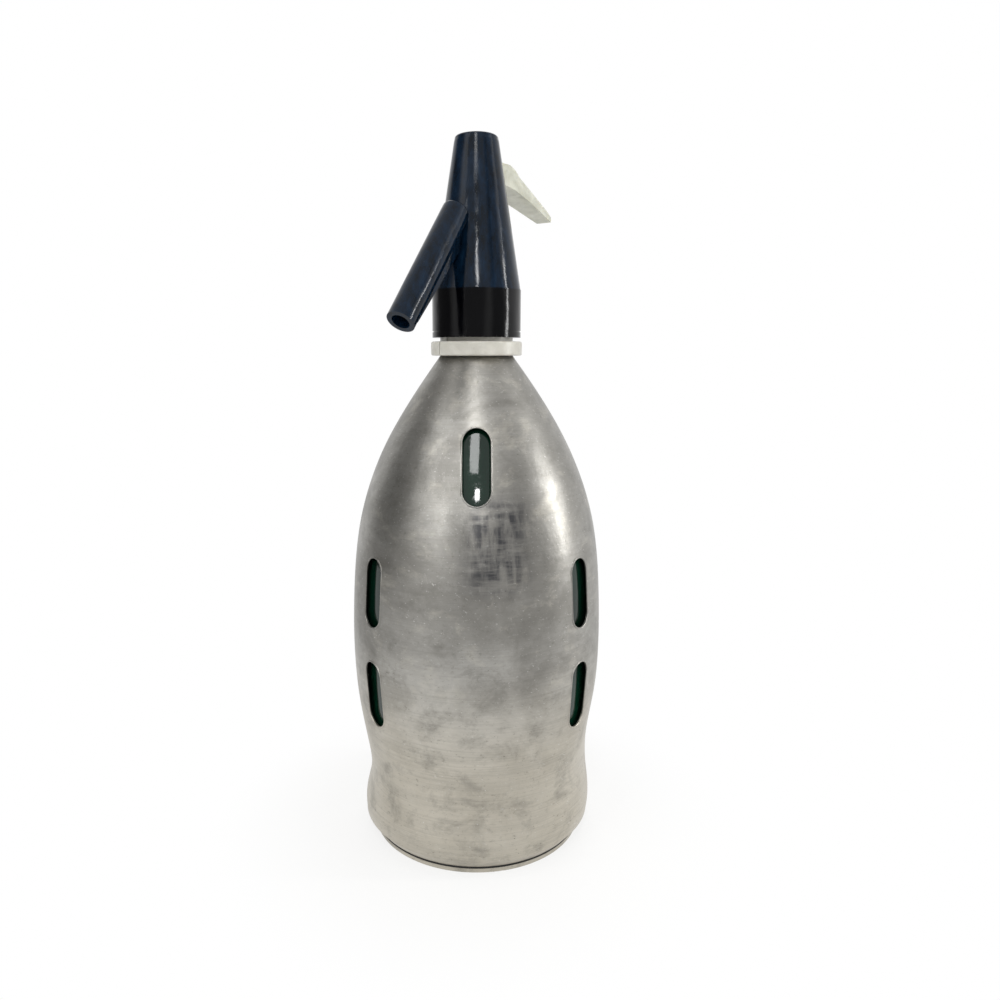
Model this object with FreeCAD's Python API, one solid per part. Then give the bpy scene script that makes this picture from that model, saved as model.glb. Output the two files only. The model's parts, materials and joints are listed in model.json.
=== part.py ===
import FreeCAD, Part
import math
import os

# Soda siphon: a thick glass bottle in a spun aluminium jacket, under a moulded head
# with a sloping spout and a lever that lifts the valve. Lengths are in millimetres.
# +Z is up, the origin is the middle of the flat base, the spout points to -X
# and the lever to +X.

# Jacket outline: radius and height of each station, from the lower edge to the throat
jacket_wall = 1.0
jacket_edge_radius = 46.8
jacket_edge_height = 3.4
crease_radius = 50.6
crease_height = 8.0
bulge_radius = 51.3
bulge_height = 14.0
waist_radius = 50.3
waist_height = 28.0
flank_radius = 53.1
flank_height = 64.0
belly_radius = 54.0
belly_height = 106.0
chest_radius = 50.4
chest_height = 140.0
shoulder_radius = 43.8
shoulder_height = 162.0
cone_radius = 31.0
cone_height = 187.0
throat_radius = 15.4
throat_height = 209.9

# Windows: upright slots with round ends, placed by their angle from the front one
window_width = 11.2
window_length = 28.5
upper_window_height = 168.0
middle_window_height = 115.7
lower_window_height = 72.4
side_window_angle = 52.0
jacket_turn = -147.0

# Glass bottle
glass_gap = 1.6
glass_wall = 4.5
glass_floor = 6.0
foot_corner = 9.0
inside_foot_corner = 4.5
glass_neck_radius = 11.0
glass_neck_margin = 1.0
neck_bore_radius = 7.5
lip_radius = 12.8
lip_height = 7.0
lip_rounding = 1.2

# Base cap, its sealing ring and the cushion under the glass
cap_radius = 46.4
cap_plate = 1.2
cap_rim_height = 2.2
cap_edge_rounding = 1.0
cap_wall = 1.2
cap_wall_radius = 44.6
cap_wall_top = 4.6
cap_groove_inner_radius = 30.0
cap_groove_width = 7.0
cap_groove_depth = 0.5
cushion_thickness = 3.2
loose_fit = 0.1

# Split collar that grips the glass neck and carries the head
collar_radius = 19.1
collar_flange = 5.8
collar_rounding = 0.8
collar_grip_gap = 0.3
collar_lip_seat = 1.3
collar_split_gap = 0.5
collar_turn = -19.0
spigot_radius = 15.25
spigot_length = 10.3
neck_cushion_height = 5.5

# Dip tube and gaskets between the glass and the head
tube_radius = 4.0
tube_bore_radius = 2.5
tube_foot_gap = 5.0
tube_flange_radius = 12.4
tube_flange = 1.6
head_gasket = 2.4
head_gasket_bore = 4.5

# Head: band, tapered column and what is bored in it
head_lift = 1.6
band_radius = 18.5
band_height = 19.3
band_step = 0.2
band_groove_height = 2.2
band_groove_width = 0.5
band_groove_depth = 0.4
column_top_radius = 9.15
socket_clearance = 0.1
seat_radius = 8.0
seat_height = 10.0
seat_bore_radius = 4.0
seat_lip_width = 1.0
seat_lip_height = 0.6
chamber_radius = 7.0
chamber_height = 26.0
partition = 2.5
upper_bore_radius = 6.3

# Spout: a straight tube with a rib on its inner side
spout_radius = 5.6
spout_bore_radius = 3.6
spout_top_reach = 14.4
spout_top_rise = 7.1
spout_tip_reach = 51.2
spout_drop = 44.4
spout_end_wall = 3.0
spout_end_rounding = 1.4
rib_width = 5.0
rib_tip_setback = 4.5
rib_root_drop = 9.0
passage_radius = 2.2
passage_drop = 4.5

# Valve: stem, rubber, screw, nut, washer and spring
stem_radius = 2.0
stem_clearance = 0.08
stem_head_radius = 5.2
stem_head = 1.5
stem_above_washer = 3.5
valve_gap = 0.1
valve_rubber_radius = 5.6
valve_rubber = 3.0
screw_radius = 1.2
screw_head_radius = 2.4
screw_head = 1.4
screw_length = 8.0
gland_seal = 3.0
gland_nut = 5.0
gland_fit = 0.08
gland_slot_width = 1.2
gland_slot_depth = 1.2
lift_nut_radius = 4.2
lift_nut = 2.5
lift_gap = 0.3
spring_washer_radius = 4.6
spring_washer = 0.6
spring_radius = 3.3
spring_wire = 0.8
spring_turns = 4.5
spring_runs_per_turn = 16
spring_end_gap = 0.1
spring_space = 8.6

# Top cap
top_flange = 2.4
top_flange_taper = 0.3
top_rounding = 1.2
top_shank_length = 4.6
top_shank_wall = 1.3

# Lever and its pin
pin_reach = 7.5
pin_above_gland = 6.5
pin_radius = 1.25
pin_recess = 0.3
pin_press_gap = 0.02
pin_running_gap = 0.07
lever_half_width = 5.6
lever_leaf_half_width = 6.8
lever_tip_half_width = 3.8
lever_side_gap = 0.3
boss_radius = 2.9
cam_radius = 1.6
prong_inner = 2.5
prong_outer = 4.6
root_reach = 9.0
root_rise = 7.4
land_reach = 16.5
lever_shoulder_reach = 24.0
lever_shoulder_rise = 3.6
leaf_start_reach = 13.0
leaf_reach = 20.0
slope_end_reach = 53.0
slope_end_drop = 5.8
tip_reach = 58.0
tip_drop = 8.0
tip_thickness = 2.2
underside_reach = 34.0
underside_drop = 4.7
heel_reach = 13.5
heel_drop = 1.2
slot_floor_gap = 2.8
slot_top_gap = 0.6

# Levels of the stack, each from the one below it
glass_neck_start = throat_height - neck_cushion_height - glass_neck_margin
cushion_top = cap_plate + cushion_thickness
glass_inside_floor = cushion_top + glass_floor
collar_top = throat_height + collar_flange
lip_bottom = collar_top + collar_lip_seat
lip_top = lip_bottom + lip_height
flange_top = lip_top + tube_flange
head_shoulder = flange_top + head_gasket
head_bottom = collar_top + head_lift
spigot_top = collar_top + spigot_length
band_top = head_bottom + band_height
seat_top = head_shoulder + seat_height
chamber_top = seat_top + chamber_height
gland_bottom = chamber_top + partition
gland_seal_top = gland_bottom + gland_seal
gland_top = gland_seal_top + gland_nut
passage_height = chamber_top - passage_drop
spout_top_height = passage_height + spout_top_rise
spout_tip_height = spout_top_height - spout_drop
rib_root_height = passage_height - rib_root_drop
lip_ring_top = seat_top + seat_lip_height
rubber_bottom = lip_ring_top + valve_gap
rubber_top = rubber_bottom + valve_rubber
stem_head_top = rubber_top + stem_head
slot_floor = gland_top + slot_floor_gap
pin_height = gland_top + pin_above_gland
root_top = pin_height + root_rise
lever_shoulder_height = pin_height + lever_shoulder_rise
heel_height = pin_height - heel_drop
underside_height = pin_height - underside_drop
slope_end_height = pin_height - slope_end_drop
tip_height = pin_height - tip_drop
nut_bottom = pin_height + cam_radius + lift_gap
nut_top = nut_bottom + lift_nut
washer_top = nut_top + spring_washer
stem_top = washer_top + stem_above_washer
column_top = washer_top + spring_space
total_height = column_top + top_flange

full_turn = 360.0
up = FreeCAD.Vector(0, 0, 1)
origin = FreeCAD.Vector(0, 0, 0)


def at(radius, height, across=0.0):
    return FreeCAD.Vector(radius, across, height)


def cylinder(radius, bottom, top):
    return Part.makeCylinder(radius, top - bottom, at(0, bottom))


def ring(outer, inner, bottom, top):
    return cylinder(outer, bottom, top).cut(cylinder(inner, bottom, top))


def revolve(edges):
    face = Part.Face(Part.Wire(edges))
    return face.revolve(origin, up, full_turn)


def lines(points):
    return [Part.makeLine(first, last) for first, last in zip(points, points[1:])]


def turned(shape, angle):
    copy = shape.copy()
    copy.rotate(origin, up, angle)
    return copy


def smooth(points):
    curve = Part.BSplineCurve()
    curve.interpolate(points)
    return curve.toShape()


def corner_arc(start, middle_out, end):
    # quarter round from start to end that bulges towards middle_out
    centre = start + end - middle_out
    reach = (middle_out - centre).normalize() * start.distanceToPoint(centre)
    return Part.Arc(start, centre + reach, end).toShape()


def slab(points, low, high):
    flat = [FreeCAD.Vector(point.x, low, point.z) for point in points]
    face = Part.Face(Part.Wire(lines(flat + flat[:1])))
    return face.extrude(FreeCAD.Vector(0, high - low, 0))


def side_stations():
    return [
        (crease_radius, crease_height),
        (bulge_radius, bulge_height),
        (waist_radius, waist_height),
        (flank_radius, flank_height),
        (belly_radius, belly_height),
        (chest_radius, chest_height),
        (shoulder_radius, shoulder_height),
        (cone_radius, cone_height),
        (throat_radius, throat_height),
    ]


def inset_side(inset):
    # the side's stations moved inwards, square to the outline; the ends keep their height
    stations = side_stations()
    moved = [at(stations[0][0] - inset, stations[0][1])]
    for before, here, after in zip(stations, stations[1:], stations[2:]):
        rise = after[1] - before[1]
        spread = after[0] - before[0]
        run = math.hypot(rise, spread)
        moved.append(at(here[0] - inset * rise / run, here[1] + inset * spread / run))
    moved.append(at(stations[-1][0] - inset, stations[-1][1]))
    return moved


def window_places():
    # angle from the front window and height of the middle, front half then rear half
    places = [(0.0, upper_window_height), (full_turn / 2, upper_window_height)]
    for angle in (side_window_angle, full_turn / 2 - side_window_angle):
        for side in (angle, -angle):
            places.append((side, middle_window_height))
            places.append((side, lower_window_height))
    return places


def window_cutter(angle, height):
    half_width = window_width / 2
    straight = window_length / 2 - half_width
    reach = belly_radius * 2
    body = Part.makeBox(reach, window_width, straight * 2, at(0, height - straight, -half_width))
    sideways = FreeCAD.Vector(1, 0, 0)
    for end in (height - straight, height + straight):
        body = body.fuse(Part.makeCylinder(half_width, reach, at(0, end), sideways))
    return turned(body, jacket_turn + angle)


def make_jacket():
    outer = inset_side(0.0)
    inner = inset_side(jacket_wall)
    outer_edge = at(jacket_edge_radius, jacket_edge_height)
    inner_edge = at(jacket_edge_radius - jacket_wall, jacket_edge_height)
    edges = lines([inner[0], inner_edge, outer_edge, outer[0]])
    edges.append(smooth(outer))
    edges += lines([outer[-1], inner[-1]])
    edges.append(smooth(inner[::-1]))
    shell = revolve(edges)
    for angle, height in window_places():
        shell = shell.cut(window_cutter(angle, height))
    return shell


def glass_side(inset, neck_radius):
    # from the bulge up to the start of the straight neck
    return inset_side(inset)[1:-1] + [at(neck_radius, glass_neck_start)]


def make_bottle():
    outer_inset = jacket_wall + glass_gap
    outer = glass_side(outer_inset, glass_neck_radius)
    inner = glass_side(outer_inset + glass_wall, neck_bore_radius)
    foot_side = outer[0].x
    foot = [at(0, cushion_top), at(foot_side - foot_corner, cushion_top)]
    foot_end = at(foot_side, cushion_top + foot_corner)
    edges = lines(foot)
    edges.append(corner_arc(foot[1], at(foot_side, cushion_top), foot_end))
    edges += lines([foot_end, outer[0]])
    edges.append(smooth(outer))
    lip_corner = at(lip_radius, lip_top)
    edges += lines([
        outer[-1],
        at(glass_neck_radius, lip_bottom),
        at(lip_radius, lip_bottom),
        lip_corner - at(0, lip_rounding),
    ])
    lip_land = lip_corner - at(lip_rounding, 0)
    edges.append(corner_arc(lip_corner - at(0, lip_rounding), lip_corner, lip_land))
    edges += lines([lip_land, at(neck_bore_radius, lip_top), inner[-1]])
    edges.append(smooth(inner[::-1]))
    edges += lines([
        inner[0],
        at(inner[0].x - inside_foot_corner, glass_inside_floor),
        at(0, glass_inside_floor),
        foot[0],
    ])
    return revolve(edges)


def make_base_cap():
    corner = at(cap_radius, 0)
    inner_wall = cap_wall_radius - cap_wall
    start = corner - at(cap_edge_rounding, 0)
    end = corner + at(0, cap_edge_rounding)
    groove_outer = cap_groove_inner_radius + cap_groove_width
    edges = lines([
        at(0, cap_plate),
        origin,
        at(cap_groove_inner_radius, 0),
        at(cap_groove_inner_radius, cap_groove_depth),
        at(groove_outer, cap_groove_depth),
        at(groove_outer, 0),
        start,
    ])
    edges.append(corner_arc(start, corner, end))
    edges += lines([
        end,
        at(cap_radius, cap_rim_height),
        at(cap_wall_radius, cap_rim_height),
        at(cap_wall_radius, cap_wall_top),
        at(inner_wall, cap_wall_top),
        at(inner_wall, cap_plate),
        at(0, cap_plate),
    ])
    return revolve(edges)


def make_base_ring():
    return ring(cap_radius - loose_fit, cap_wall_radius, cap_rim_height, jacket_edge_height)


def make_base_cushion():
    radius = cap_wall_radius - cap_wall - loose_fit
    return cylinder(radius, cap_plate, cushion_top)


def make_neck_cushion():
    inner = glass_neck_radius + loose_fit
    outer = throat_radius - jacket_wall - loose_fit
    return ring(outer, inner, throat_height - neck_cushion_height, throat_height)


def make_collar():
    flange = cylinder(collar_radius, throat_height, collar_top)
    flange = flange.makeFillet(collar_rounding, flange.Edges)
    whole = flange.fuse(cylinder(spigot_radius, throat_height + collar_rounding, spigot_top))
    whole = whole.cut(cylinder(glass_neck_radius + collar_grip_gap, throat_height, lip_bottom))
    whole = whole.cut(cylinder(lip_radius + collar_grip_gap, lip_bottom, spigot_top))
    return whole


def collar_half(side):
    size = collar_radius * 2
    shift = collar_split_gap / 2 if side > 0 else -collar_split_gap / 2 - size
    keep = Part.makeBox(size * 2, size, total_height, at(-size, 0, shift))
    return turned(make_collar().common(keep), collar_turn)


def make_dip_tube():
    foot = glass_inside_floor + tube_foot_gap
    tube = cylinder(tube_radius, foot, flange_top)
    tube = tube.fuse(cylinder(tube_flange_radius, lip_top, flange_top))
    return tube.cut(cylinder(tube_bore_radius, foot, flange_top))


def make_head_gasket():
    return ring(tube_flange_radius, head_gasket_bore, flange_top, head_shoulder)


def make_valve_seat():
    base = cylinder(seat_radius, head_shoulder, seat_top)
    lip = cylinder(seat_bore_radius + seat_lip_width, seat_top, lip_ring_top)
    return base.fuse(lip).cut(cylinder(seat_bore_radius, head_shoulder, lip_ring_top))


def column_radius(height):
    foot = band_radius - band_step
    share = (height - band_top) / (column_top - band_top)
    return foot + (column_top_radius - foot) * share


def spout_axis():
    top = at(-spout_top_reach, spout_top_height)
    tip = at(-spout_tip_reach, spout_tip_height)
    return top, tip, (tip - top).normalize()


def make_spout():
    top, tip, along = spout_axis()
    length = top.distanceToPoint(tip)
    tube = Part.makeCylinder(spout_radius, length, top, along)
    upper_edge = min(tube.Edges, key=lambda edge: edge.CenterOfMass.distanceToPoint(top))
    return tube.makeFillet(spout_end_rounding, [upper_edge])


def make_rib():
    # a plate under the tube: its lower edge runs straight from the tube to the column
    top, tip, along = spout_axis()
    inwards = FreeCAD.Vector(-along.z, 0, along.x)
    end = tip - along * rib_tip_setback
    return slab([
        top,
        end,
        end + inwards * spout_radius,
        at(-column_radius(rib_root_height), rib_root_height),
        at(0, rib_root_height),
        at(0, spout_top_height),
    ], -rib_width / 2, rib_width / 2)


def make_head():
    foot = band_radius - band_step
    groove_top = head_bottom + band_groove_height + band_groove_width
    body = revolve(lines([
        at(0, head_bottom),
        at(band_radius, head_bottom),
        at(band_radius, head_bottom + band_groove_height),
        at(band_radius - band_groove_depth, head_bottom + band_groove_height),
        at(band_radius - band_groove_depth, groove_top),
        at(band_radius, groove_top),
        at(band_radius, band_top),
        at(foot, band_top),
        at(column_top_radius, column_top),
        at(0, column_top),
        at(0, head_bottom),
    ]))
    body = body.fuse(make_spout()).fuse(make_rib())
    socket = spigot_radius + socket_clearance
    body = body.cut(cylinder(socket, head_bottom, head_shoulder))
    body = body.cut(cylinder(seat_radius, head_shoulder, seat_top))
    body = body.cut(cylinder(chamber_radius, seat_top, chamber_top))
    body = body.cut(cylinder(stem_radius + stem_clearance, chamber_top, gland_bottom))
    body = body.cut(cylinder(upper_bore_radius, gland_bottom, column_top))
    return cut_lever_slot(cut_spout_bore(body))


def cut_spout_bore(body):
    top, tip, along = spout_axis()
    start = top + along * spout_end_wall
    length = start.distanceToPoint(tip) + spout_radius
    body = body.cut(Part.makeCylinder(spout_bore_radius, length, start, along))
    reach = top.x + along.x * (passage_height - top.z) / along.z
    outwards = FreeCAD.Vector(-1, 0, 0)
    return body.cut(Part.makeCylinder(passage_radius, -reach, at(0, passage_height), outwards))


def cut_lever_slot(body):
    half_width = lever_half_width + lever_side_gap
    slot_top = root_top + slot_top_gap
    slot = Part.makeBox(band_radius, half_width * 2, slot_top - slot_floor,
                        at(0, slot_floor, -half_width))
    across = FreeCAD.Vector(0, 1, 0)
    hole = Part.makeCylinder(pin_radius + pin_press_gap, band_radius * 2,
                             at(pin_reach, pin_height, -band_radius), across)
    return body.cut(slot).cut(hole)


def make_pin():
    chord = math.sqrt(column_radius(pin_height) ** 2 - pin_reach ** 2) - pin_recess
    start = at(pin_reach, pin_height, -chord)
    return Part.makeCylinder(pin_radius, chord * 2, start, FreeCAD.Vector(0, 1, 0))


def lever_arm():
    side = [
        at(root_reach, root_top),
        at(land_reach, root_top),
        at(lever_shoulder_reach, lever_shoulder_height),
        at(slope_end_reach, slope_end_height),
        at(tip_reach, tip_height),
        at(tip_reach, tip_height - tip_thickness),
        at(underside_reach, underside_height),
        at(heel_reach, heel_height),
        at(root_reach, heel_height),
    ]
    arm = slab(side, -lever_leaf_half_width, lever_leaf_half_width)
    plan = [
        at(0, 0, -lever_half_width),
        at(leaf_start_reach, 0, -lever_half_width),
        at(leaf_reach, 0, -lever_leaf_half_width),
        at(tip_reach, 0, -lever_tip_half_width),
        at(tip_reach, 0, lever_tip_half_width),
        at(leaf_reach, 0, lever_leaf_half_width),
        at(leaf_start_reach, 0, lever_half_width),
        at(0, 0, lever_half_width),
        at(0, 0, -lever_half_width),
    ]
    outline = Part.Face(Part.Wire(lines(plan))).extrude(up * total_height)
    return arm.common(outline)


def make_lever():
    across = FreeCAD.Vector(0, 1, 0)
    boss = Part.makeCylinder(boss_radius, lever_half_width * 2,
                             at(pin_reach, pin_height, -lever_half_width), across)
    block = slab([
        at(pin_reach, pin_height + boss_radius),
        at(root_reach, pin_height + boss_radius),
        at(root_reach, pin_height - boss_radius),
        at(pin_reach, pin_height - boss_radius),
    ], -lever_half_width, lever_half_width)
    lever = lever_arm().fuse(boss).fuse(block)
    for low, high in ((-prong_outer, -prong_inner), (prong_inner, prong_outer)):
        bar = slab([
            at(0, pin_height + cam_radius),
            at(pin_reach, pin_height + cam_radius),
            at(pin_reach, pin_height - cam_radius),
            at(0, pin_height - cam_radius),
        ], low, high)
        cam = Part.makeCylinder(cam_radius, high - low, at(0, pin_height, low), across)
        lever = lever.fuse(bar).fuse(cam)
    bore = Part.makeCylinder(pin_radius + pin_running_gap, lever_half_width * 2,
                             at(pin_reach, pin_height, -lever_half_width), across)
    return lever.cut(bore).removeSplitter()


def make_stem():
    rod = cylinder(stem_radius, rubber_top, stem_top)
    stem = rod.fuse(cylinder(stem_head_radius, rubber_top, stem_head_top))
    return stem.cut(cylinder(screw_radius, rubber_top, rubber_bottom + screw_length))


def make_valve_rubber():
    return ring(valve_rubber_radius, screw_radius, rubber_bottom, rubber_top)


def make_rubber_screw():
    shank = cylinder(screw_radius, rubber_bottom, rubber_bottom + screw_length)
    return shank.fuse(cylinder(screw_head_radius, rubber_bottom - screw_head, rubber_bottom))


def make_gland_seal():
    return ring(upper_bore_radius, stem_radius + stem_clearance, gland_bottom, gland_seal_top)


def make_gland_nut():
    outer = upper_bore_radius - gland_fit
    nut = ring(outer, stem_radius + stem_clearance, gland_seal_top, gland_top)
    slot_bottom = gland_top - gland_slot_depth
    slot = Part.makeBox(outer * 2, gland_slot_width, gland_slot_depth,
                        at(-outer, slot_bottom, -gland_slot_width / 2))
    return nut.cut(slot)


def make_lift_nut():
    return ring(lift_nut_radius, stem_radius, nut_bottom, nut_top)


def make_spring_washer():
    return ring(spring_washer_radius, stem_radius, nut_top, washer_top)


def make_spring():
    # short straight runs with mitred corners, set along a helix
    bottom = washer_top + spring_end_gap + spring_wire / 2
    top = column_top - spring_end_gap - spring_wire / 2
    runs = int(spring_turns * spring_runs_per_turn)
    points = []
    for step in range(runs + 1):
        angle = 2 * math.pi * step / spring_runs_per_turn
        height = bottom + (top - bottom) * step / runs
        points.append(at(spring_radius * math.cos(angle), height, spring_radius * math.sin(angle)))
    section = Part.makeCircle(spring_wire / 2, points[0], points[1] - points[0])
    mitred = 1
    return Part.makePolygon(points).makePipeShell([Part.Wire(section)], True, False, mitred)


def make_top_cap():
    shank_radius = upper_bore_radius - gland_fit
    top_radius = column_top_radius - top_flange_taper
    start = at(top_radius, total_height - top_rounding)
    end = at(top_radius - top_rounding, total_height)
    bore = shank_radius - top_shank_wall
    edges = lines([
        at(0, column_top),
        at(bore, column_top),
        at(bore, column_top - top_shank_length),
        at(shank_radius, column_top - top_shank_length),
        at(shank_radius, column_top),
        at(column_top_radius, column_top),
        start,
    ])
    edges.append(corner_arc(start, at(top_radius, total_height), end))
    edges += lines([end, at(0, total_height), at(0, column_top)])
    return revolve(edges)


parts = {
    "jacket_shell": make_jacket(),
    "glass_bottle": make_bottle(),
    "jacket_base_cap": make_base_cap(),
    "base_sealing_ring": make_base_ring(),
    "base_cushion": make_base_cushion(),
    "neck_cushion": make_neck_cushion(),
    "collar_half_a": collar_half(1),
    "collar_half_b": collar_half(-1),
    "dip_tube": make_dip_tube(),
    "head_gasket": make_head_gasket(),
    "valve_seat": make_valve_seat(),
    "head_body": make_head(),
    "gland_seal": make_gland_seal(),
    "gland_nut": make_gland_nut(),
    "top_cap": make_top_cap(),
    "lever_pin": make_pin(),
    "lever": make_lever(),
    "valve_stem": make_stem(),
    "valve_rubber": make_valve_rubber(),
    "rubber_screw": make_rubber_screw(),
    "lift_nut": make_lift_nut(),
    "spring_washer": make_spring_washer(),
    "valve_spring": make_spring(),
}

os.makedirs("parts", exist_ok=True)
for name, shape in parts.items():
    box = shape.BoundBox
    print(name, len(shape.Solids), "valid" if shape.isValid() else "NOT VALID", round(shape.Volume, 1),
          [round(value, 2) for value in (box.XMin, box.XMax, box.YMin, box.YMax, box.ZMin, box.ZMax)])
    shape.exportStep("parts/" + name + ".step")
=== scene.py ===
import json
import math
import bmesh
import bpy
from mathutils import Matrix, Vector, noise


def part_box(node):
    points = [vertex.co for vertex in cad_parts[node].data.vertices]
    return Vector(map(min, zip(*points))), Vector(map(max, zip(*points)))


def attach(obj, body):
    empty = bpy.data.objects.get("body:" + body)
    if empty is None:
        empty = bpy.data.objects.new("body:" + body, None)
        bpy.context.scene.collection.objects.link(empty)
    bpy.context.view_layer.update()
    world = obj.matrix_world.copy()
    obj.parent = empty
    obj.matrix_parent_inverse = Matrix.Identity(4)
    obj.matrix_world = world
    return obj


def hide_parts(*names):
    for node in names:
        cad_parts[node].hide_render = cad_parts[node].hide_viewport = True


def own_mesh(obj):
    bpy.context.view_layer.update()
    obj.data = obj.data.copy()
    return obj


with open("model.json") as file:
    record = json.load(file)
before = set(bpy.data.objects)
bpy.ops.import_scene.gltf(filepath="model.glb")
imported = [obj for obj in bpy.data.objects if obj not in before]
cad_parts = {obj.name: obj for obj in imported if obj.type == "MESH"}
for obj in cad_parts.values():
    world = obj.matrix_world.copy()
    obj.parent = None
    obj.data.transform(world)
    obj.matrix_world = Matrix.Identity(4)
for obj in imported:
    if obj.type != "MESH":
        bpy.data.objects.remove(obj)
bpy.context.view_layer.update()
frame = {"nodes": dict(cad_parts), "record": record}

mm = 0.001
fullTurn = 2 * math.pi
frontAngle = math.radians(-147)  # the side that faces the camera, as an angle round the bottle


def toLinear(code):
    # sRGB hex to the linear values that shaders take
    channels = [int(code[i:i + 2], 16) / 255 for i in (1, 3, 5)]
    return [c / 12.92 if c <= 0.04045 else ((c + 0.055) / 1.055) ** 2.4 for c in channels] + [1.0]


def newMaterial(name):
    material = bpy.data.materials.new(name)
    material.use_nodes = True
    tree = material.node_tree
    return material, tree, tree.nodes["Principled BSDF"]


def addNode(tree, kind, values=None, links=None, stops=None, out=0, **settings):
    # one node with its settings, plain socket values, incoming links and ramp stops; gives the output out
    node = tree.nodes.new(kind)
    for key, value in settings.items():
        setattr(node, key, value)
    for key, value in (values or {}).items():
        node.inputs[key].default_value = value
    for key, source in (links or {}).items():
        tree.links.new(source, node.inputs[key])
    for number, (position, color) in enumerate(stops or []):
        elements = node.color_ramp.elements
        element = elements[number] if number < 2 else elements.new(position)
        element.position = position
        element.color = toLinear(color) if isinstance(color, str) else (color, color, color, 1)
    return node.outputs[out]


def sized(tree, size, turn=(0, 0, 0)):
    # object coordinates divided by the size of a pattern's features in millimetres
    place = addNode(tree, "ShaderNodeTexCoord", out="Object")
    return addNode(tree, "ShaderNodeMapping", {"Scale": [s * mm for s in size], "Rotation": turn},
                   {"Vector": place}, vector_type="TEXTURE")


def fromFront(tree):
    # object coordinates in millimetres, turned so that X points to the front and Y to its right
    place = addNode(tree, "ShaderNodeTexCoord", out="Object")
    return addNode(tree, "ShaderNodeMapping", {"Scale": [1 / mm] * 3, "Rotation": (0, 0, -frontAngle)},
                   {"Vector": place})


# Camera: it stands close to the bottle, so the perspective is strong
cameraSettings = {"distance": 347.0, "height": 210.4, "pitch": 10.2, "focalPixels": 809.0,
                  "frameWidth": 1000.0, "axisPixel": 476.5, "sensor": 36.0}


def makeCamera(s):
    data = bpy.data.cameras.new("camera")
    data.lens = s["sensor"] * s["focalPixels"] / s["frameWidth"]
    data.shift_x = 0.5 - s["axisPixel"] / s["frameWidth"]
    data.clip_start = 0.01
    camera = bpy.data.objects.new("camera", data)
    away = s["distance"] * mm
    camera.location = (away * math.cos(frontAngle), away * math.sin(frontAngle), s["height"] * mm)
    camera.rotation_euler = (math.radians(90 - s["pitch"]), 0, frontAngle + math.radians(90))
    bpy.context.collection.objects.link(camera)
    bpy.context.scene.camera = camera


makeCamera(cameraSettings)
print("camera done")

# Studio: angles are counted from the camera's side, to its right. The lamps are soft boxes and strips. The
# cards are dark cloths that only reflections see: they shade the metal's flanks and the glossy head.
studio = {
    "floorColor": "#F7F7F5", "floorSize": 12.0,
    "shadowRadius": 58.0, "whiteRadius": 125.0, "shadowShare": 0.75,  # in mm, where the floor turns plain white
    "worldColor": "#FFFFFF", "worldLevel": 0.5, "middle": (0, 0, 0.15),
    "lamps": [  # name, angle, elevation, distance, width, height, brightness
        ("keyLamp", -3, 47, 1.0, 0.17, 0.36, 10.5),
        ("frontStrip", 1, 29, 0.9, 0.07, 0.06, 60.0),
        ("rightStrip", 86, 12, 0.8, 0.05, 0.4, 26.0),
        ("leftStrip", -34, 20, 0.8, 0.035, 0.35, 16.0),
        ("leftLamp", -62, 35, 1.4, 0.9, 0.9, 1.3),
        ("rightLamp", 70, 30, 1.4, 0.9, 0.9, 1.2),
        ("backLamp", 170, 40, 1.5, 1.0, 0.8, 1.5)],
    "cards": [  # name, angle, spread, lowest, highest, level, cover
        ("leftCard", -92, 66, -0.2, 1.3, 0.08, 0.92),
        ("rightCard", 58, 50, -0.2, 1.3, 0.14, 0.75),
        ("frontCard", -6, 76, -0.1, 0.62, 0.22, 0.75),
        ("farCard", 178, 30, 0.1, 0.9, 0.20, 0.35)],
    "cardDistance": 0.95, "cardColumns": 16, "cardRows": 12, "cardSideFade": 1.6, "cardTopFade": 4}


def whiteBehind(tree):
    # 1 for rays that should see the white background: from the camera, or by way of gloss or glass
    path = tree.nodes.new("ShaderNodeLightPath")
    seen = path.outputs["Is Camera Ray"]
    for other in ("Is Glossy Ray", "Is Transmission Ray"):
        seen = addNode(tree, "ShaderNodeMath", links={0: seen, 1: path.outputs[other]}, operation="MAXIMUM")
    return seen


def makeFloor(s):
    half = s["floorSize"] / 2
    mesh = bpy.data.meshes.new("floor")
    corners = [(-half, -half, 0), (half, -half, 0), (half, half, 0), (-half, half, 0)]
    mesh.from_pydata(corners, [], [(0, 1, 2, 3)])
    floor = bpy.data.objects.new("floor", mesh)
    bpy.context.collection.objects.link(floor)
    material, tree, shader = newMaterial("paleFloor")
    shader.inputs["Base Color"].default_value = toLinear(s["floorColor"])
    shader.inputs["Roughness"].default_value = 0.9
    shader.inputs["Specular IOR Level"].default_value = 0.1
    place = addNode(tree, "ShaderNodeTexCoord", out="Object")
    away = addNode(tree, "ShaderNodeVectorMath", links={0: place}, out="Value", operation="LENGTH")
    limits = {"From Min": s["shadowRadius"] * mm, "From Max": s["whiteRadius"] * mm, "To Min": s["shadowShare"]}
    share = addNode(tree, "ShaderNodeMapRange", limits, {"Value": away}, interpolation_type="SMOOTHSTEP")
    share = addNode(tree, "ShaderNodeMath", links={0: share, 1: whiteBehind(tree)}, operation="MULTIPLY")
    white = addNode(tree, "ShaderNodeEmission")
    both = addNode(tree, "ShaderNodeMixShader", links={0: share, 1: shader.outputs[0], 2: white})
    tree.links.new(both, tree.nodes["Material Output"].inputs["Surface"])
    mesh.materials.append(material)


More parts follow.
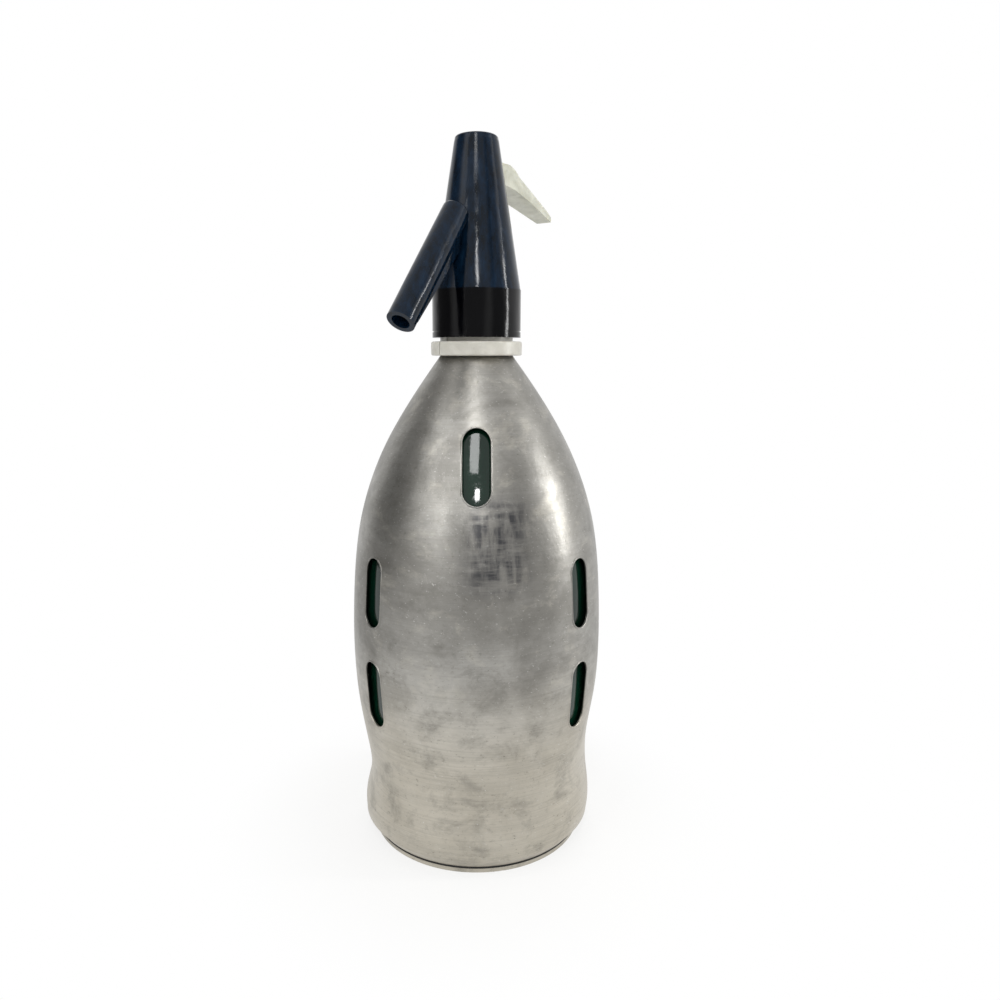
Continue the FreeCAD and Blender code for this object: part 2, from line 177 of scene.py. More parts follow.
def makeWorld(s):
    world = bpy.data.worlds.new("studioWorld")
    bpy.context.scene.world = world
    world.use_nodes = True
    tree = world.node_tree
    background = tree.nodes["Background"]
    background.inputs["Color"].default_value = toLinear(s["worldColor"])
    level = addNode(tree, "ShaderNodeMapRange", {"To Min": s["worldLevel"]}, {"Value": whiteBehind(tree)})
    tree.links.new(level, background.inputs["Strength"])


def makeLamps(s):
    middle = Vector(s["middle"])
    for name, angle, elevation, distance, width, height, brightness in s["lamps"]:
        lamp = bpy.data.lights.new(name, "AREA")
        lamp.shape = "RECTANGLE"
        lamp.size, lamp.size_y = width, height
        lamp.energy = brightness * math.pi * width * height
        holder = bpy.data.objects.new(name, lamp)
        a, e = frontAngle + math.radians(angle), math.radians(elevation)
        back = Vector((math.cos(a) * math.cos(e), math.sin(a) * math.cos(e), math.sin(e)))
        holder.location = middle + back * distance
        holder.rotation_mode = "QUATERNION"
        holder.rotation_quaternion = (-back).to_track_quat("-Z", "Y")
        bpy.context.collection.objects.link(holder)


def makeCards(s):
    # each card fades out towards its edges, so that it leaves no hard line in the gloss
    columns, rows = s["cardColumns"], s["cardRows"]
    for name, angle, spread, low, high, level, cover in s["cards"]:
        mesh = bpy.data.meshes.new(name)
        points, shades = [], []
        for i in range(rows + 1):
            for j in range(columns + 1):
                a = frontAngle + math.radians(angle + spread * (j / columns - 0.5))
                points.append((s["cardDistance"] * math.cos(a), s["cardDistance"] * math.sin(a),
                               low + (high - low) * i / rows))
                fade = math.sin(math.pi * j / columns) * min(1, s["cardTopFade"] * (1 - i / rows))
                shades.append(cover * min(1, s["cardSideFade"] * fade))
        wide = columns + 1
        faces = [(i * wide + j, i * wide + j + 1, (i + 1) * wide + j + 1, (i + 1) * wide + j)
                 for i in range(rows) for j in range(columns)]
        mesh.from_pydata(points, [], faces)
        mesh.attributes.new("cover", "FLOAT", "POINT").data.foreach_set("value", shades)
        card = bpy.data.objects.new(name, mesh)
        card.visible_camera = False
        card.visible_diffuse = False
        card.visible_shadow = False
        bpy.context.collection.objects.link(card)
        material, tree, shader = newMaterial(name)
        grey = addNode(tree, "ShaderNodeEmission", {"Strength": level})
        clear = addNode(tree, "ShaderNodeBsdfTransparent")
        share = addNode(tree, "ShaderNodeAttribute", out="Fac", attribute_name="cover")
        both = addNode(tree, "ShaderNodeMixShader", links={0: share, 1: clear, 2: grey})
        tree.links.new(both, tree.nodes["Material Output"].inputs["Surface"])
        mesh.materials.append(material)


makeFloor(studio)
makeWorld(studio)
makeLamps(studio)
makeCards(studio)
bpy.context.scene.view_settings.view_transform = "Standard"
print("studio done")


# Spun aluminium, 99% pure, worn by years of handling: satin, with fine turned lines, drawn about half a
# millimetre apart so that they show, soft stains, scuffs, light scratches and a dark smudge of old glue
noTurn = (0, 0, 0)
spun = {
    "patterns": [  # name, size of its features in mm, noise detail, roughness and distortion, turn
        ("turned", (38, 38, 0.55), 3.0, 0.6, 0.0, noTurn),
        ("bands", (60, 60, 7), 4.0, 0.6, 0.0, noTurn),
        ("stains", (30, 30, 24), 7.0, 0.62, 0.4, noTurn),
        ("blotches", (17, 17, 13), 8.0, 0.68, 0.3, noTurn),
        ("grain", (2.4, 2.4, 1.3), 6.0, 0.75, 0.0, noTurn),
        ("scratches", (30, 1.1, 0.5), 2.0, 0.5, 0.0, (0.3, 0.5, 0.4)),
        ("chips", (3.5, 3.5, 4.5), 5.0, 0.7, 0.0, noTurn)],
    "metal": [(0.30, "#8A8883"), (0.62, "#BEBCB7"), (0.46, "#A5A39E"), (0.76, "#999893")],
    "heights": [  # start and end in mm, strength, colour: painted light low down, lighter and warmer, and painted shade higher up
        (100.0, 35.0, 0.75, "#C3BCAD"),
        (60.0, 112.0, 0.5, "#716F6A")],
    "layers": [  # pattern, where it shows and how strongly, colour
        ("blotches", [(0.32, 0.5), (0.48, 0.0)], "#6F6D67"),
        ("blotches", [(0.54, 0.0), (0.72, 0.5)], "#CBC6BA"),
        ("bands", [(0.42, 0.0), (0.78, 0.22)], "#83817A"),
        ("turned", [(0.46, 0.0), (0.78, 0.28)], "#7B7973"),
        ("grain", [(0.28, 0.7), (0.42, 0.0)], "#706E67"),
        ("grain", [(0.60, 0.0), (0.74, 0.6)], "#C9C8C4"),
        ("chips", [(0.70, 0.0), (0.76, 0.8)], "#DAD9D4"),
        ("scratches", [(0.69, 0.0), (0.75, 0.7)], "#D0CFCB"),
        ("scratches", [(0.22, 0.7), (0.29, 0.0)], "#5C5A54")],
    "roughness": [(0.3, 0.46), (0.72, 0.36)],
    "anisotropic": 0.35,
    "quarterTurn": 0.25,  # highlights run along the bottle, across the turned lines
    "bumps": [("turned", 0.22, 0.08), ("grain", 0.22, 0.10), ("stains", 0.35, 0.9)],  # strength, depth in mm
}
smudge = {"right": 7.5, "halfWidth": 11.0, "height": 139.0, "halfHeight": 17.0, "fade": 6.0, "color": "#4C4C4E",
          "smears": [(3.0, 3.0, 22.0), (16.0, 16.0, 2.6)]}


def spunAluminium(s):
    material, tree, shader = newMaterial("spunAluminium")
    patterns = {}
    for name, size, detail, rough, bend, turn in s["patterns"]:
        values = {"Scale": 1.0, "Detail": detail, "Roughness": rough, "Distortion": bend}
        patterns[name] = addNode(tree, "ShaderNodeTexNoise", values, {"Vector": sized(tree, size, turn)})
    height = addNode(tree, "ShaderNodeSeparateXYZ", links={0: fromFront(tree)}, out="Z")
    layers = []
    # painted light and shade by height: lighter and warmer low down, darker higher up
    for start, end, strength, color in s["heights"]:
        limits = {"From Min": start, "From Max": end, "To Max": strength}
        mask = addNode(tree, "ShaderNodeMapRange", limits, {"Value": height}, interpolation_type="SMOOTHSTEP")
        layers.append((mask, color))
    for name, stops, color in s["layers"]:
        layers.append((addNode(tree, "ShaderNodeValToRGB", links={0: patterns[name]}, stops=stops), color))
    layers.append((smudgeMask(tree, smudge), smudge["color"]))
    base = addNode(tree, "ShaderNodeValToRGB", links={0: patterns["stains"]}, stops=s["metal"])
    for mask, color in layers:
        base = addNode(tree, "ShaderNodeMix", {7: toLinear(color)}, {0: mask, 6: base}, out=2,
                       data_type="RGBA")
    tree.links.new(base, shader.inputs["Base Color"])
    rough = addNode(tree, "ShaderNodeValToRGB", links={0: patterns["stains"]}, stops=s["roughness"])
    tree.links.new(rough, shader.inputs["Roughness"])
    shader.inputs["Metallic"].default_value = 1.0
    shader.inputs["Anisotropic"].default_value = s["anisotropic"]
    shader.inputs["Anisotropic Rotation"].default_value = s["quarterTurn"]
    tangent = addNode(tree, "ShaderNodeTangent", direction_type="RADIAL", axis="Z")
    tree.links.new(tangent, shader.inputs["Tangent"])
    links = {}
    for name, strength, depth in s["bumps"]:
        links["Height"] = patterns[name]
        links["Normal"] = addNode(tree, "ShaderNodeBump", {"Strength": strength, "Distance": depth * mm}, links)
    tree.links.new(links["Normal"], shader.inputs["Normal"])
    return material


def smudgeMask(tree, s):
    # a soft box on the front, broken up into upright and level smears
    place = fromFront(tree)
    front, right, height = [
        addNode(tree, "ShaderNodeSeparateXYZ", links={0: place}, out=axis) for axis in ("X", "Y", "Z")]
    mask = addNode(tree, "ShaderNodeMath", {1: 0.0}, {0: front}, operation="GREATER_THAN")
    for side, middle, half in ((right, s["right"], s["halfWidth"]), (height, s["height"], s["halfHeight"])):
        off = addNode(tree, "ShaderNodeMath", {1: middle}, {0: side}, operation="SUBTRACT")
        off = addNode(tree, "ShaderNodeMath", links={0: off}, operation="ABSOLUTE")
        limits = {"From Min": half + s["fade"], "From Max": half - s["fade"]}
        inside = addNode(tree, "ShaderNodeMapRange", limits, {"Value": off}, interpolation_type="SMOOTHSTEP")
        mask = addNode(tree, "ShaderNodeMath", links={0: mask, 1: inside}, operation="MULTIPLY")
    for size in s["smears"]:
        smears = addNode(tree, "ShaderNodeTexNoise", {"Scale": 1.0, "Detail": 4.0, "Roughness": 0.6},
                         {"Vector": sized(tree, size)})
        smears = addNode(tree, "ShaderNodeValToRGB", links={0: smears}, stops=[(0.34, 0.25), (0.58, 1.0)])
        mask = addNode(tree, "ShaderNodeMath", links={0: mask, 1: smears}, operation="MULTIPLY")
    return mask


# Dark green soda-lime glass, pressed thick: its skin is smooth and a little wavy, with dust on it, and little
# light comes through
def greenGlass():
    material, tree, shader = newMaterial("greenGlass")
    waves = addNode(tree, "ShaderNodeTexNoise", {"Scale": 1.0, "Detail": 2.0},
                    {"Vector": sized(tree, (26, 26, 40))})
    dust = addNode(tree, "ShaderNodeTexNoise", {"Scale": 1.0, "Detail": 5.0, "Roughness": 0.7},
                   {"Vector": sized(tree, (1.5, 1.5, 1.5))})
    base = addNode(tree, "ShaderNodeValToRGB", links={0: waves}, stops=[(0.35, "#031810"), (0.65, "#082A1D")])
    tree.links.new(base, shader.inputs["Base Color"])
    rough = addNode(tree, "ShaderNodeValToRGB", links={0: dust}, stops=[(0.45, 0.04), (0.75, 0.16)])
    tree.links.new(rough, shader.inputs["Roughness"])
    shader.inputs["IOR"].default_value = 1.52
    shader.inputs["Specular IOR Level"].default_value = 0.35
    shader.inputs["Transmission Weight"].default_value = 0.15
    normal = addNode(tree, "ShaderNodeBump", {"Strength": 0.25, "Distance": 0.6 * mm}, {"Height": waves})
    tree.links.new(normal, shader.inputs["Normal"])
    return material


# Navy phenolic (Bakelite), moulded and polished: near black with a blue cast, rubbed and finely scratched.
# The band round its foot is painted shade: plain black, for the dark surroundings that it reflects. It fades in
# just below its upper edge, and the spout, which lies further out than the body, has none of it.
paintedShadeBand = {"upperEdge": (236.9, 236.2), "bodySide": (-19.2, -18.7), "color": "#030305"}


def navyPhenolic(band):
    material, tree, shader = newMaterial("navyPhenolic")
    rubbed = addNode(tree, "ShaderNodeTexNoise", {"Scale": 1.0, "Detail": 7.0, "Roughness": 0.7},
                     {"Vector": sized(tree, (3.2, 3.2, 9.0))})
    pits = addNode(tree, "ShaderNodeTexNoise", {"Scale": 1.0, "Detail": 4.0, "Roughness": 0.65},
                   {"Vector": sized(tree, (0.9, 0.9, 0.9))})
    swell = addNode(tree, "ShaderNodeTexNoise", {"Scale": 1.0, "Detail": 2.0},
                    {"Vector": sized(tree, (14, 14, 26))})
    place = addNode(tree, "ShaderNodeTexCoord", out="Object")
    masks = []
    for axis, (start, end) in (("Z", band["upperEdge"]), ("X", band["bodySide"])):
        side = addNode(tree, "ShaderNodeSeparateXYZ", links={0: place}, out=axis)
        limits = {"From Min": start * mm, "From Max": end * mm}
        masks.append(addNode(tree, "ShaderNodeMapRange", limits, {"Value": side}))
    inBand = addNode(tree, "ShaderNodeMath", links={0: masks[0], 1: masks[1]}, operation="MULTIPLY")
    scuffs = addNode(tree, "ShaderNodeValToRGB", links={0: pits}, stops=[(0.66, 0.0), (0.76, 0.35)])
    base = addNode(tree, "ShaderNodeValToRGB", links={0: rubbed},
                   stops=[(0.36, "#030B14"), (0.80, "#11293D"), (0.60, "#071A2C")])
    # the band's plain black is painted shade, the dark reflection round the foot
    for mask, color in ((scuffs, "#4A5A70"), (inBand, band["color"])):
        base = addNode(tree, "ShaderNodeMix", {7: toLinear(color)}, {0: mask, 6: base}, out=2,
                       data_type="RGBA")
    tree.links.new(base, shader.inputs["Base Color"])
    rough = addNode(tree, "ShaderNodeValToRGB", links={0: rubbed}, stops=[(0.38, 0.05), (0.74, 0.22)])
    tree.links.new(rough, shader.inputs["Roughness"])
    shader.inputs["IOR"].default_value = 1.55
    shader.inputs["Specular IOR Level"].default_value = 0.18
    links = {}
    for height, strength, depth in ((swell, 0.5, 0.9), (rubbed, 0.3, 0.12), (pits, 0.2, 0.08)):
        links["Height"] = height
        links["Normal"] = addNode(tree, "ShaderNodeBump", {"Strength": strength, "Distance": depth * mm}, links)
    tree.links.new(links["Normal"], shader.inputs["Normal"])
    return material


# Moulded nylon, yellowed: a little light passes through its thin parts, and grime sits in its pores
def agedNylon(name, pale, dull, stain, depth):
    material, tree, shader = newMaterial(name)
    cloud = addNode(tree, "ShaderNodeTexNoise",
                    {"Scale": 1.0, "Detail": 5.0, "Roughness": 0.6, "Distortion": 0.5},
                    {"Vector": sized(tree, (8, 8, 8))})
    marks = addNode(tree, "ShaderNodeTexNoise", {"Scale": 1.0, "Detail": 6.0, "Roughness": 0.7},
                    {"Vector": sized(tree, (3.0, 1.6, 3.0))})
    base = addNode(tree, "ShaderNodeValToRGB", links={0: cloud}, stops=[(0.3, dull), (0.65, pale)])
    grime = addNode(tree, "ShaderNodeValToRGB", links={0: marks}, stops=[(0.25, 0.9), (0.35, 0.0)])
    base = addNode(tree, "ShaderNodeMix", {7: toLinear(stain)}, {0: grime, 6: base}, out=2,
                   data_type="RGBA")
    tree.links.new(base, shader.inputs["Base Color"])
    shader.inputs["Roughness"].default_value = 0.36
    shader.inputs["IOR"].default_value = 1.53
    shader.inputs["Subsurface Weight"].default_value = depth
    shader.inputs["Subsurface Radius"].default_value = (1.0, 0.85, 0.6)
    shader.inputs["Subsurface Scale"].default_value = 2.5 * mm
    links = {}
    for height, strength, deep in ((cloud, 0.4, 0.5), (marks, 0.3, 0.15)):
        links["Height"] = height
        links["Normal"] = addNode(tree, "ShaderNodeBump", {"Strength": strength, "Distance": deep * mm}, links)
    tree.links.new(links["Normal"], shader.inputs["Normal"])
    return material


# Nitrile rubber, moulded: matte black, greyed by dust
def blackRubber():
    material, tree, shader = newMaterial("blackRubber")
    dust = addNode(tree, "ShaderNodeTexNoise", {"Scale": 1.0, "Detail": 5.0, "Roughness": 0.7},
                   {"Vector": sized(tree, (2, 2, 2))})
    base = addNode(tree, "ShaderNodeValToRGB", links={0: dust}, stops=[(0.4, "#0C0C0C"), (0.75, "#2A2926")])
    tree.links.new(base, shader.inputs["Base Color"])
    shader.inputs["Roughness"].default_value = 0.75
    normal = addNode(tree, "ShaderNodeBump", {"Strength": 0.3, "Distance": 0.1 * mm}, {"Height": dust})
    tree.links.new(normal, shader.inputs["Normal"])
    return material


# Stainless steel, turned or drawn: bright, with fine marks across its length
def turnedSteel():
    material, tree, shader = newMaterial("turnedSteel")
    turned = addNode(tree, "ShaderNodeTexNoise", {"Scale": 1.0, "Detail": 3.0, "Roughness": 0.6},
                     {"Vector": sized(tree, (3, 3, 0.25))})
    base = addNode(tree, "ShaderNodeValToRGB", links={0: turned}, stops=[(0.35, "#8C8B88"), (0.7, "#B9B8B4")])
    tree.links.new(base, shader.inputs["Base Color"])
    shader.inputs["Metallic"].default_value = 1.0
    shader.inputs["Roughness"].default_value = 0.28
    normal = addNode(tree, "ShaderNodeBump", {"Strength": 0.2, "Distance": 0.05 * mm}, {"Height": turned})
    tree.links.new(normal, shader.inputs["Normal"])
    return material


# Polythene, extruded or moulded: milky, with a soft shine
def milkyPolythene(name, tint):
    material, tree, shader = newMaterial(name)
    haze = addNode(tree, "ShaderNodeTexNoise", {"Scale": 1.0, "Detail": 3.0},
                   {"Vector": sized(tree, (10, 10, 20))})
    base = addNode(tree, "ShaderNodeValToRGB", links={0: haze}, stops=[(0.3, tint), (0.7, "#E4E4DE")])
    tree.links.new(base, shader.inputs["Base Color"])
    shader.inputs["Roughness"].default_value = 0.25
    shader.inputs["IOR"].default_value = 1.51
    shader.inputs["Subsurface Weight"].default_value = 0.2
    shader.inputs["Subsurface Scale"].default_value = 2 * mm
    normal = addNode(tree, "ShaderNodeBump", {"Strength": 0.2, "Distance": 0.3 * mm}, {"Height": haze})
    tree.links.new(normal, shader.inputs["Normal"])
    return material


materials = {
    "aluminium": spunAluminium(spun),
    "green_glass": greenGlass(),
    "navy_plastic": navyPhenolic(paintedShadeBand),
    "ivory_lever": agedNylon("ivoryLever", "#CECEC0", "#A9A998", "#57544A", 0.3),
    "ivory_collar": agedNylon("ivoryCollar", "#CCCAC1", "#B7B4AA", "#736F65", 0.1),
    "black_rubber": blackRubber(),
    "steel": turnedSteel(),
    "clear_tube": milkyPolythene("clearTube", "#CDD2CC"),
    "white_plastic": milkyPolythene("whitePlastic", "#D2D1C8"),
}
for part in frame["record"]["subparts"]:
    for place in frame["nodes"][part["node"]].material_slots:
        place.material = materials[part["material_slot"]]
print("materials done")


def addPiece(mesh, name, slot, body, replaced=None):
    for polygon in mesh.polygons:
        polygon.use_smooth = True
    piece = bpy.data.objects.new(name, mesh)
    bpy.context.collection.objects.link(piece)
    if not mesh.materials:
        mesh.materials.append(materials[slot])
    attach(piece, body)
    if replaced:
        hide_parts(replaced)
    return piece


# Jacket: the side's stations, radius and height in millimetres, joined by a smooth curve. Windows are the angle
# from the front and the height of the middle. A rim's points are how far out and how deep they lie. Dents are
# the angle from the front, the height, the depth, and how far they reach round, in degrees, and up.
jacket = {
    "stations": [(50.6, 8.0), (51.3, 14.0), (50.3, 28.0), (53.1, 64.0), (54.0, 106.0), (50.4, 140.0),
                 (43.8, 162.0), (31.0, 187.0), (15.4, 209.9)],
    "edge": (46.8, 3.4), "wall": 0.6, "segments": 240, "rowStep": 1.5,
    "windows": [(0, 168.0), (180, 168.0)] + [(a, z) for a in (52, -52, 128, -128) for z in (115.7, 72.4)],
    "windowWidth": 11.2, "windowLength": 28.5,
    "patchColumns": 9, "patchRows": 12,  # grid cells that a window takes, to each side of its middle
    "patchShares": (0.66, 0.33),  # loops between a window's rim and the grid round it
    "edgeShares": (0.06, 0.35, 0.65, 0.94, 1.0),  # loops of the turned-in lower edge
    "rim": [(0.9, 0.0), (0.5, 0.0), (0.28, 0.04), (0.1, 0.15), (0.02, 0.34), (0.0, 0.7)],
    "dents": [(-90, 27, 2.2, 34, 12), (-64, 40, 0.8, 18, 14), (-20, 60, 0.5, 16, 20), (38, 94, 0.5, 14, 18),
              (84, 46, 0.9, 22, 16), (150, 70, 1.0, 20, 22), (-140, 44, 1.2, 24, 18), (8, 24, 0.4, 20, 9)],
    "unevenness": 0.16, "unevenSize": 26.0,
}


def splineRadius(stations):
    # natural cubic through the stations, radius as a function of height
    heights = [z for _, z in stations]
    radii = [r for r, _ in stations]
    count = len(stations)
    gaps = [heights[i + 1] - heights[i] for i in range(count - 1)]
    slopes = [(radii[i + 1] - radii[i]) / gaps[i] for i in range(count - 1)]
    lower, curve = [0.0] * count, [0.0] * count
    for i in range(1, count - 1):
        weight = 2 * (gaps[i - 1] + gaps[i]) - gaps[i - 1] * lower[i - 1]
        lower[i] = gaps[i] / weight
        curve[i] = (6 * (slopes[i] - slopes[i - 1]) - gaps[i - 1] * curve[i - 1]) / weight
    for i in range(count - 2, 0, -1):
        curve[i] -= lower[i] * curve[i + 1]

    def radius(z):
        i = max(k for k in range(count - 1) if z >= heights[k] or k == 0)
        above, below = heights[i + 1] - z, z - heights[i]
        gap = gaps[i]
        bend = (curve[i] * above ** 3 + curve[i + 1] * below ** 3) / (6 * gap)
        lean = (radii[i] / gap - curve[i] * gap / 6) * above
        return bend + lean + (radii[i + 1] / gap - curve[i + 1] * gap / 6) * below
    return radius


sideRadius = splineRadius(jacket["stations"])


def skinPoint(angle, z, depth=0.0):
    # a point of the jacket's outer skin, pushed inwards by depth, by its dents and by the metal's unevenness
    for turn, height, deep, around, up in jacket["dents"]:
        off = (angle - frontAngle - math.radians(turn) + math.pi) % fullTurn - math.pi
        depth += deep * math.exp(-(off / math.radians(around)) ** 2 - ((z - height) / up) ** 2)
    place = Vector((math.cos(angle), math.sin(angle), 0)) * sideRadius(z)
    place.z = z
    depth += jacket["unevenness"] * (1 + noise.noise(place / jacket["unevenSize"]))
    inwards = 1 - depth / sideRadius(z)
    return Vector((place.x * inwards, place.y * inwards, z)) * mm


def bridge(bm, first, second):
    # faces between two closed loops of as many points
    for k in range(len(first)):
        n = (k + 1) % len(first)
        bm.faces.new((first[k], first[n], second[n], second[k]))


def cutWindow(bm, s, grid, heights, degrees, centre):
    # loops from the grid round the window to its rim and inwards; gives the grid cells that they stand for
    count = s["segments"]
    step = fullTurn / count
    column = round(math.radians(degrees) / step)
    row = round((centre - heights[0]) / (heights[-1] - heights[0]) * (len(heights) - 1))
    wide, tall = s["patchColumns"], s["patchRows"]
    border = [(-tall, j) for j in range(-wide, wide)] + [(i, wide) for i in range(-tall, tall)]
    border += [(tall, -j) for j in range(-wide, wide)] + [(-i, -wide) for i in range(-tall, tall)]
    middleAngle = frontAngle + math.radians(degrees)
    halfWidth, straight = s["windowWidth"] / 2, (s["windowLength"] - s["windowWidth"]) / 2
    places = []  # the border's points as seen from straight in front of the window
    for i, j in border:
        turn = frontAngle + step * (column + j) - middleAngle
        places.append((math.sin(turn) * sideRadius(heights[row + i]), heights[row + i] - centre))

    def rimPoint(place, offset, depth):
        across, along = place
        anchor = max(-straight, min(straight, along))
        scale = (halfWidth + offset) / math.hypot(across, along - anchor)
        x, z = across * scale, anchor + (along - anchor) * scale
        return skinPoint(middleAngle + math.asin(x / sideRadius(centre + z)), centre + z, depth)

    outer = [grid[row + i][(column + j) % count] for i, j in border]
    loops = [outer]
    for share in s["patchShares"]:
        loop = []
        for place, vert in zip(places, outer):
            near = rimPoint(place, *s["rim"][0])
            angle, z = math.atan2(near.y, near.x), near.z / mm
            turn = (math.atan2(vert.co.y, vert.co.x) - angle + math.pi) % fullTurn - math.pi
            loop.append(bm.verts.new(skinPoint(angle + turn * share, z + (vert.co.z / mm - z) * share)))
        loops.append(loop)
    for offset, depth in s["rim"]:
        loops.append([bm.verts.new(rimPoint(place, offset, depth)) for place in places])
    for first, second in zip(loops, loops[1:]):
        bridge(bm, first, second)
    return {(row + i, (column + j) % count) for i in range(-tall, tall) for j in range(-wide, wide)}


def turnEdgeIn(bm, s, angles, previous):
    radius, height = s["edge"]
    topRadius, topHeight = s["stations"][0]
    for share in s["edgeShares"]:
        r, h = topRadius + (radius - topRadius) * share, topHeight + (height - topHeight) * share
        loop = [bm.verts.new(Vector((r * math.cos(a), r * math.sin(a), h)) * mm) for a in angles]
        bridge(bm, loop, previous)
        previous = loop


def makeJacket(s):
    bm = bmesh.new()
    count = s["segments"]
    low, high = s["stations"][0][1], s["stations"][-1][1]
    rows = round((high - low) / s["rowStep"])
    heights = [low + (high - low) * i / rows for i in range(rows + 1)]
    angles = [frontAngle + fullTurn / count * j for j in range(count)]
    grid = [[bm.verts.new(skinPoint(angle, z)) for angle in angles] for z in heights]
    taken = set()
    for degrees, centre in s["windows"]:
        taken |= cutWindow(bm, s, grid, heights, degrees, centre)
    for i in range(rows):
        for j in range(count):
            if (i, j) not in taken:
                n = (j + 1) % count
                bm.faces.new((grid[i][j], grid[i][n], grid[i + 1][n], grid[i + 1][j]))
    turnEdgeIn(bm, s, angles, grid[0])
    loose = [v for v in bm.verts if not v.link_faces]
    bmesh.ops.delete(bm, geom=loose, context="VERTS")
    bmesh.ops.recalc_face_normals(bm, faces=bm.faces)
    mesh = bpy.data.meshes.new("jacketSkin")
    bm.to_mesh(mesh)
    bm.free()
    piece = addPiece(mesh, "jacketSkin", "aluminium", "root", "jacket_shell")
    solid = piece.modifiers.new("wall", "SOLIDIFY")
    solid.thickness = s["wall"] * mm
    solid.offset = -1.0


makeJacket(jacket)
print("jacket done")


def newTree(name, inputs):
    # a geometry tree with named inputs; gives the tree and the sockets that carry them
    tree = bpy.data.node_groups.new(name, "GeometryNodeTree")
    for label, kind in inputs:
        tree.interface.new_socket(label, in_out="INPUT", socket_type="NodeSocket" + kind)
    tree.interface.new_socket("Result", in_out="OUTPUT", socket_type="NodeSocketGeometry")
    return tree, tree.nodes.new("NodeGroupInput").outputs


def endTree(tree, shape, finish):
    shape = addNode(tree, "GeometryNodeRealizeInstances", links={"Geometry": shape})
    shape = addNode(tree, "GeometryNodeSetMaterial", links={"Geometry": shape, "Material": finish})
    tree.links.new(shape, tree.nodes.new("NodeGroupOutput").inputs["Result"])


def growMesh(tree, start, values):
    # the tree's result as a plain mesh; each input is set by its socket's identifier
    holder = bpy.data.objects.new("holder", start)
    bpy.context.collection.objects.link(holder)
    modifier = holder.modifiers.new("grow", "NODES")
    modifier.node_group = tree
    for item in tree.interface.items_tree:
        if item.name in values:
            modifier[item.identifier] = values[item.name]
    mesh = bpy.data.meshes.new_from_object(holder.evaluated_get(bpy.context.evaluated_depsgraph_get()))
    mesh.name = tree.name
    bpy.data.objects.remove(holder)
    return mesh


# Window rims: the punched edge of each window is rolled to a thin bead that the hands keep bright. Sizes are in
# millimetres: the bead's radius, how far it lies outside the window and how deep in the skin.
rims = {"bead": 0.42, "sides": 8, "steps": 56, "offset": 0.3, "depth": 0.12}


def rimPaths(s):
    # a closed loop round each window, on the jacket's skin
    halfWidth = jacket["windowWidth"] / 2 + s["offset"]
    straight = (jacket["windowLength"] - jacket["windowWidth"]) / 2
    corners = []
    for i in range(s["steps"]):
        across, along = math.cos(fullTurn * i / s["steps"]), math.sin(fullTurn * i / s["steps"])
        corners.append((halfWidth * across, halfWidth * along + math.copysign(straight, along)))
    points, edges = [], []
    for degrees, centre in jacket["windows"]:
        first = len(points)
        for across, along in corners:
            angle = frontAngle + math.radians(degrees) + math.asin(across / sideRadius(centre + along))
            points.append(skinPoint(angle, centre + along, s["depth"]))
        edges += [(first + i, first + (i + 1) % s["steps"]) for i in range(s["steps"])]
    mesh = bpy.data.meshes.new("rimPaths")
    mesh.from_pydata(points, edges, [])
    return mesh


def makeRims(s):
    tree, given = newTree("windowRims", (
        ("Paths", "Geometry"), ("Bead radius", "Float"), ("Bead sides", "Int"), ("Finish", "Material")))
    paths = addNode(tree, "GeometryNodeMeshToCurve", links={"Mesh": given["Paths"]})
    bead = addNode(tree, "GeometryNodeCurvePrimitiveCircle",
                   links={"Resolution": given["Bead sides"], "Radius": given["Bead radius"]})
    rim = addNode(tree, "GeometryNodeCurveToMesh", links={"Curve": paths, "Profile Curve": bead})
    endTree(tree, rim, given["Finish"])
    mesh = growMesh(tree, rimPaths(s), {"Bead radius": s["bead"] * mm, "Bead sides": s["sides"],
                                        "Finish": materials["aluminium"]})
    addPiece(mesh, "windowRims", "aluminium", "root")


makeRims(rims)
print("window rims done")

# Valve spring: a drawn wire coil over the stem.
spring = {"radius": 3.3, "wire": 0.8, "turns": 4.5, "stepsPerTurn": 32, "sides": 10, "pressedShare": 0.8}


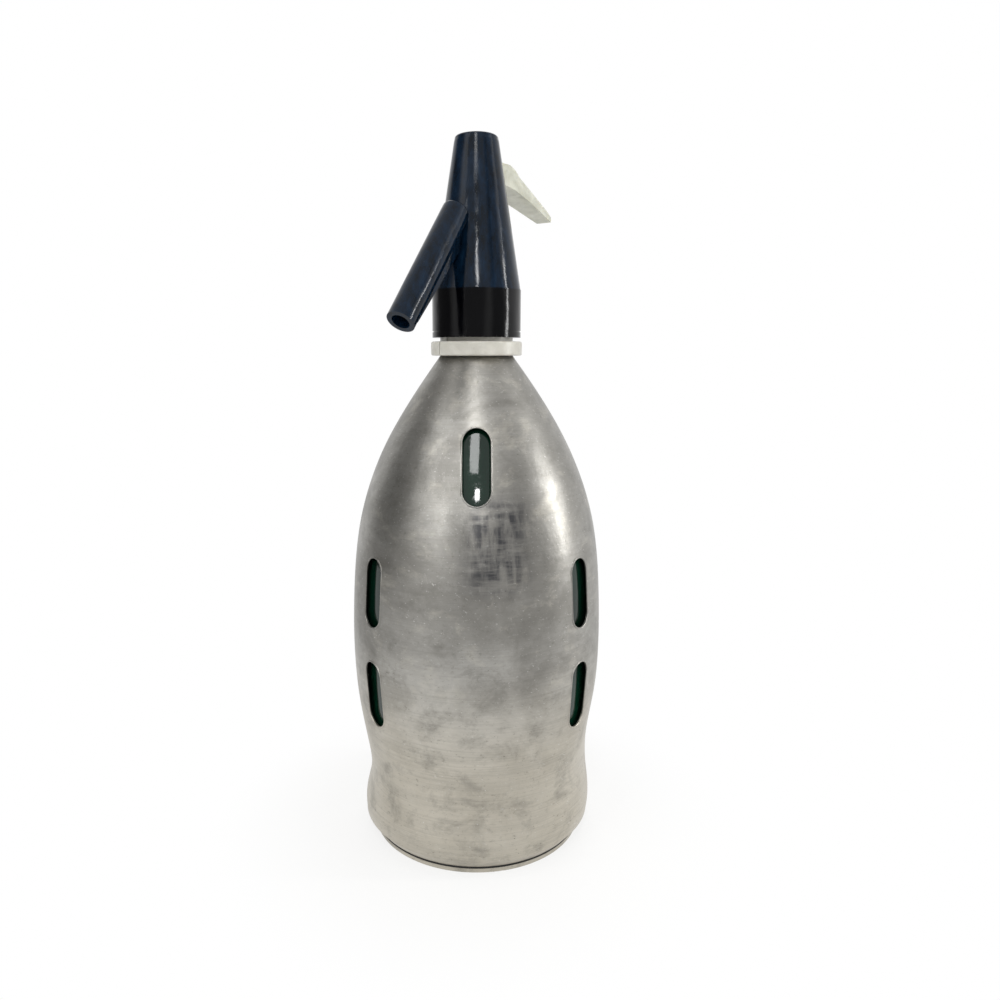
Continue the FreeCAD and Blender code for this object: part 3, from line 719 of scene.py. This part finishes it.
def makeSpring(s):
    low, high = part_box("valve_spring")
    wire = s["wire"] * mm
    tree, given = newTree("valveCoil", (
        ("Start", "Geometry"), ("Coil radius", "Float"), ("Turns", "Float"), ("Steps per turn", "Int"),
        ("Rise", "Float"), ("Foot", "Vector"), ("Wire radius", "Float"), ("Wire sides", "Int"),
        ("Finish", "Material")))
    coil = addNode(tree, "GeometryNodeCurveSpiral", links={
        "Resolution": given["Steps per turn"], "Rotations": given["Turns"], "Height": given["Rise"],
        "Start Radius": given["Coil radius"], "End Radius": given["Coil radius"]})
    section = addNode(tree, "GeometryNodeCurvePrimitiveCircle",
                      links={"Resolution": given["Wire sides"], "Radius": given["Wire radius"]})
    coil = addNode(tree, "GeometryNodeCurveToMesh", {"Fill Caps": True},
                   {"Curve": coil, "Profile Curve": section})
    coil = addNode(tree, "GeometryNodeTransform", links={"Geometry": coil, "Translation": given["Foot"]})
    endTree(tree, coil, given["Finish"])
    mesh = growMesh(tree, bpy.data.meshes.new("start"), {
        "Coil radius": s["radius"] * mm, "Turns": s["turns"], "Steps per turn": s["stepsPerTurn"],
        "Rise": high[2] - low[2] - wire, "Foot": (0, 0, low[2] + wire / 2), "Wire radius": wire / 2,
        "Wire sides": s["sides"], "Finish": materials["steel"]})
    piece = addPiece(mesh, "valveCoil", "steel", "root", "valve_spring")
    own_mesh(piece)


makeSpring(spring)
print("valve spring done")

# Lever: a merged copy of the solid with the soft edges of a moulding. Sizes are in millimetres and degrees.
lever = {"merge": 0.001, "flat": 0.5, "sharp": 25.0, "rounding": 0.9, "segments": 3}


def makeLever(s):
    bm = bmesh.new()
    bm.from_mesh(frame["nodes"]["lever"].data)
    bmesh.ops.remove_doubles(bm, verts=bm.verts, dist=s["merge"] * mm)
    bmesh.ops.dissolve_limit(bm, angle_limit=math.radians(s["flat"]), verts=bm.verts, edges=bm.edges)
    limit = math.radians(s["sharp"])
    sharp = [edge for edge in bm.edges if edge.is_manifold and edge.calc_face_angle() > limit]
    bmesh.ops.bevel(bm, geom=sharp, offset=s["rounding"] * mm, offset_type="OFFSET", segments=s["segments"],
                    profile=0.5, affect="EDGES", clamp_overlap=True)
    bmesh.ops.triangulate(bm, faces=bm.faces)
    mesh = bpy.data.meshes.new("leverMoulding")
    bm.to_mesh(mesh)
    bm.free()
    addPiece(mesh, "leverMoulding", "ivory_lever", "lever", "lever")


makeLever(lever)
print("lever done")
